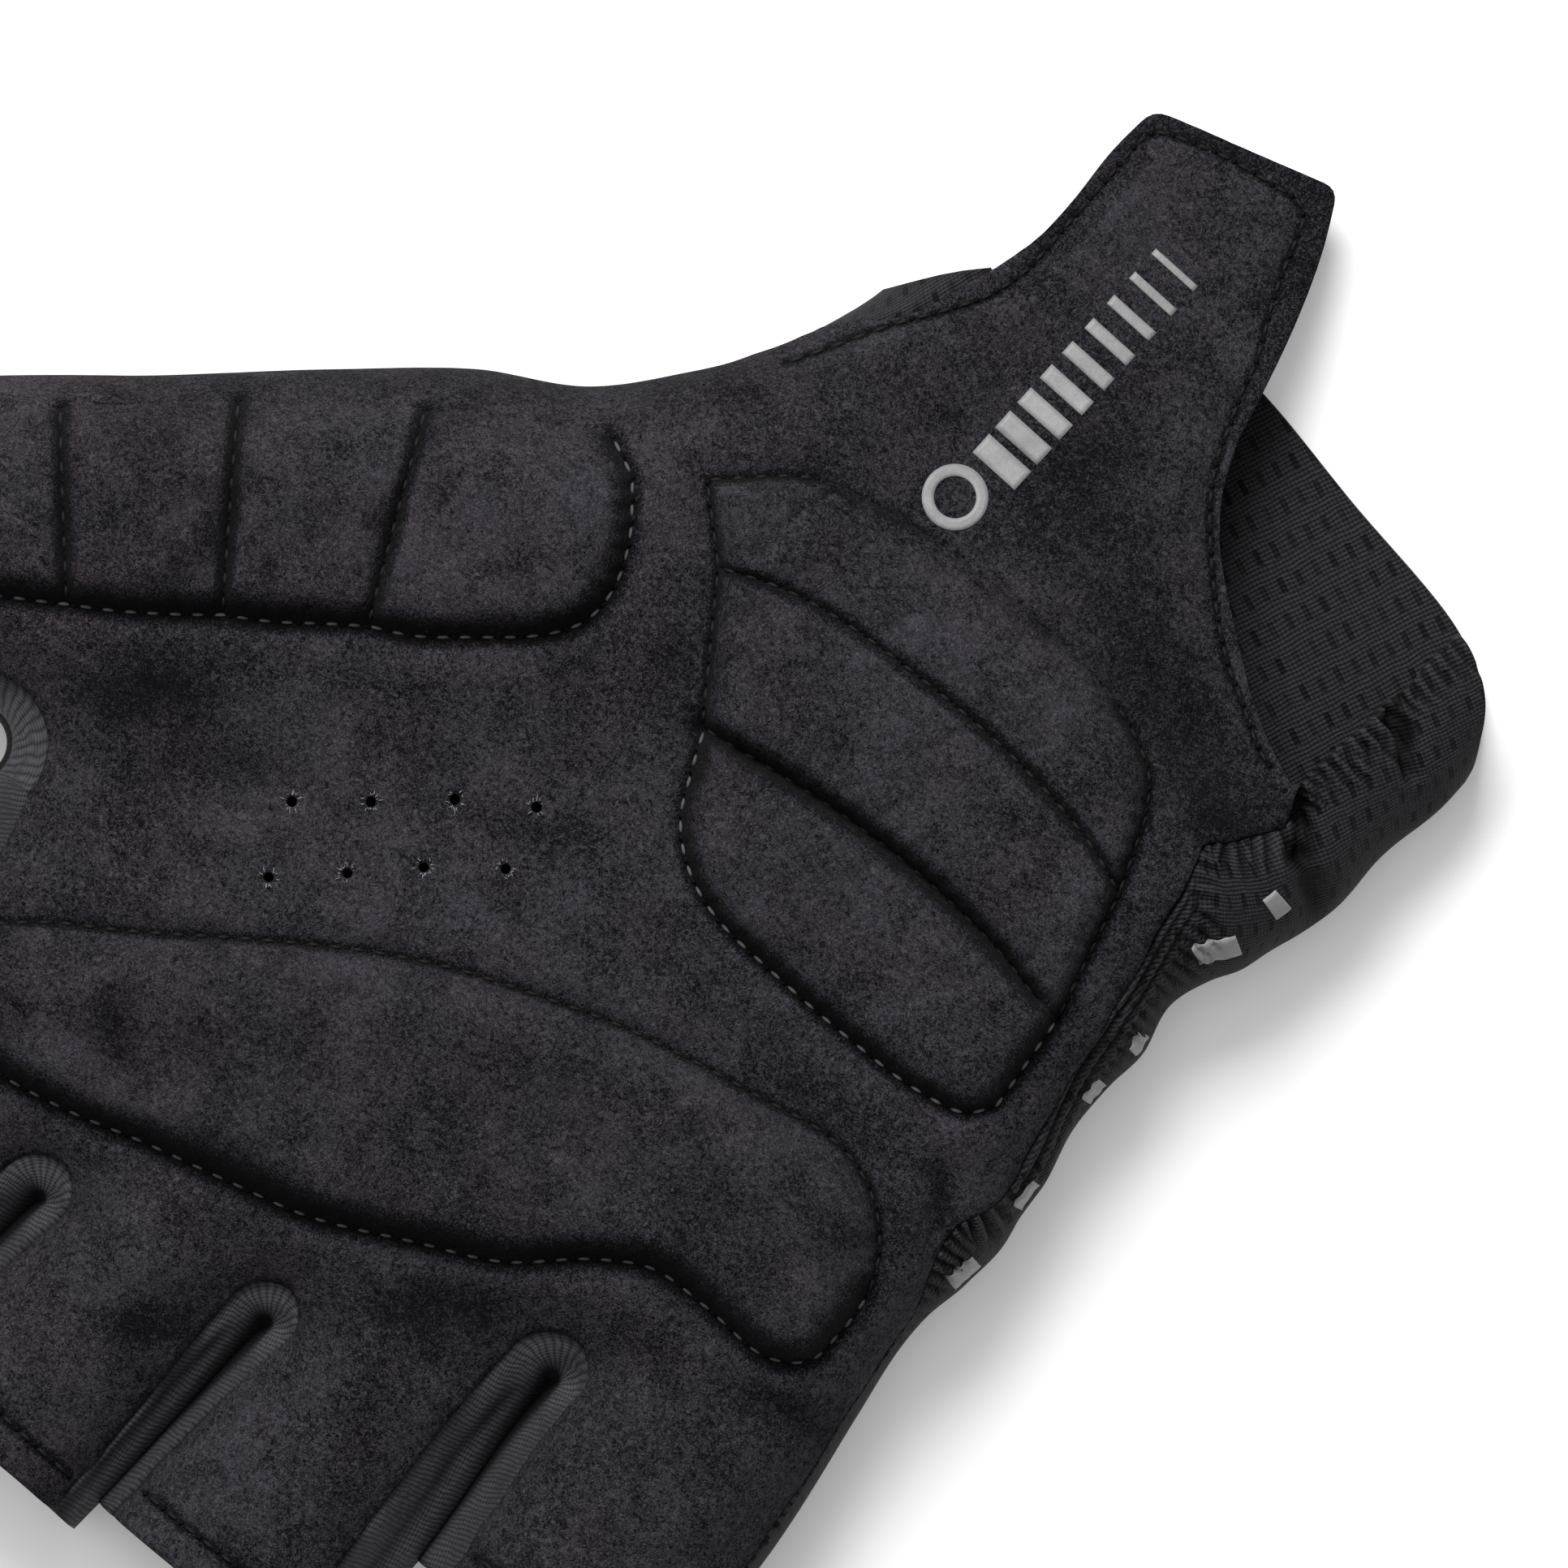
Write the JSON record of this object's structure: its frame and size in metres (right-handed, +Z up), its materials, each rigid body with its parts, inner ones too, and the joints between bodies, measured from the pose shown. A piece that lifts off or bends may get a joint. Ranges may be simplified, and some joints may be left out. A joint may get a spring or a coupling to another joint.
{
  "type": "half-finger cycling glove",
  "caption": "Right-hand half-finger cycling glove with a padded suede palm, knitted back and wrist pull tab, lying palm up.",
  "frame": {"origin": "middle of the glove's bounding box in plan, on the surface that it lies on", "axes": "+Y from the wrist to the fingers, +X to the thumb side, +Z up out of the palm"},
  "size_m": [0.1506, 0.1824, 0.0253],
  "materials": {
    "palm_suede": "charcoal synthetic suede with a short brushed nap",
    "pad_suede": "charcoal synthetic suede stretched over foam, with stitched grooves",
    "tab_suede": "charcoal synthetic suede, second layer of the pull tab",
    "knit": "near-black fine rib knit",
    "jersey": "dark grey stretch jersey with a soft sheen"
  },
  "bodies": {
    "root": {"palm_panel": "palm_suede", "back_panel": "knit", "pull_tab_backing": "tab_suede", "fourchette_little_ring": "jersey", "fourchette_ring_middle": "jersey", "fourchette_middle_index": "jersey", "thumb_web": "jersey", "ulnar_pad_upper": "pad_suede", "ulnar_pad_middle": "pad_suede", "ulnar_pad_lower": "pad_suede", "metacarpal_pad": "pad_suede", "thenar_pad_1": "pad_suede", "thenar_pad_2": "pad_suede", "thenar_pad_3": "pad_suede", "thenar_pad_4": "pad_suede"}
  },
  "joints": []
}
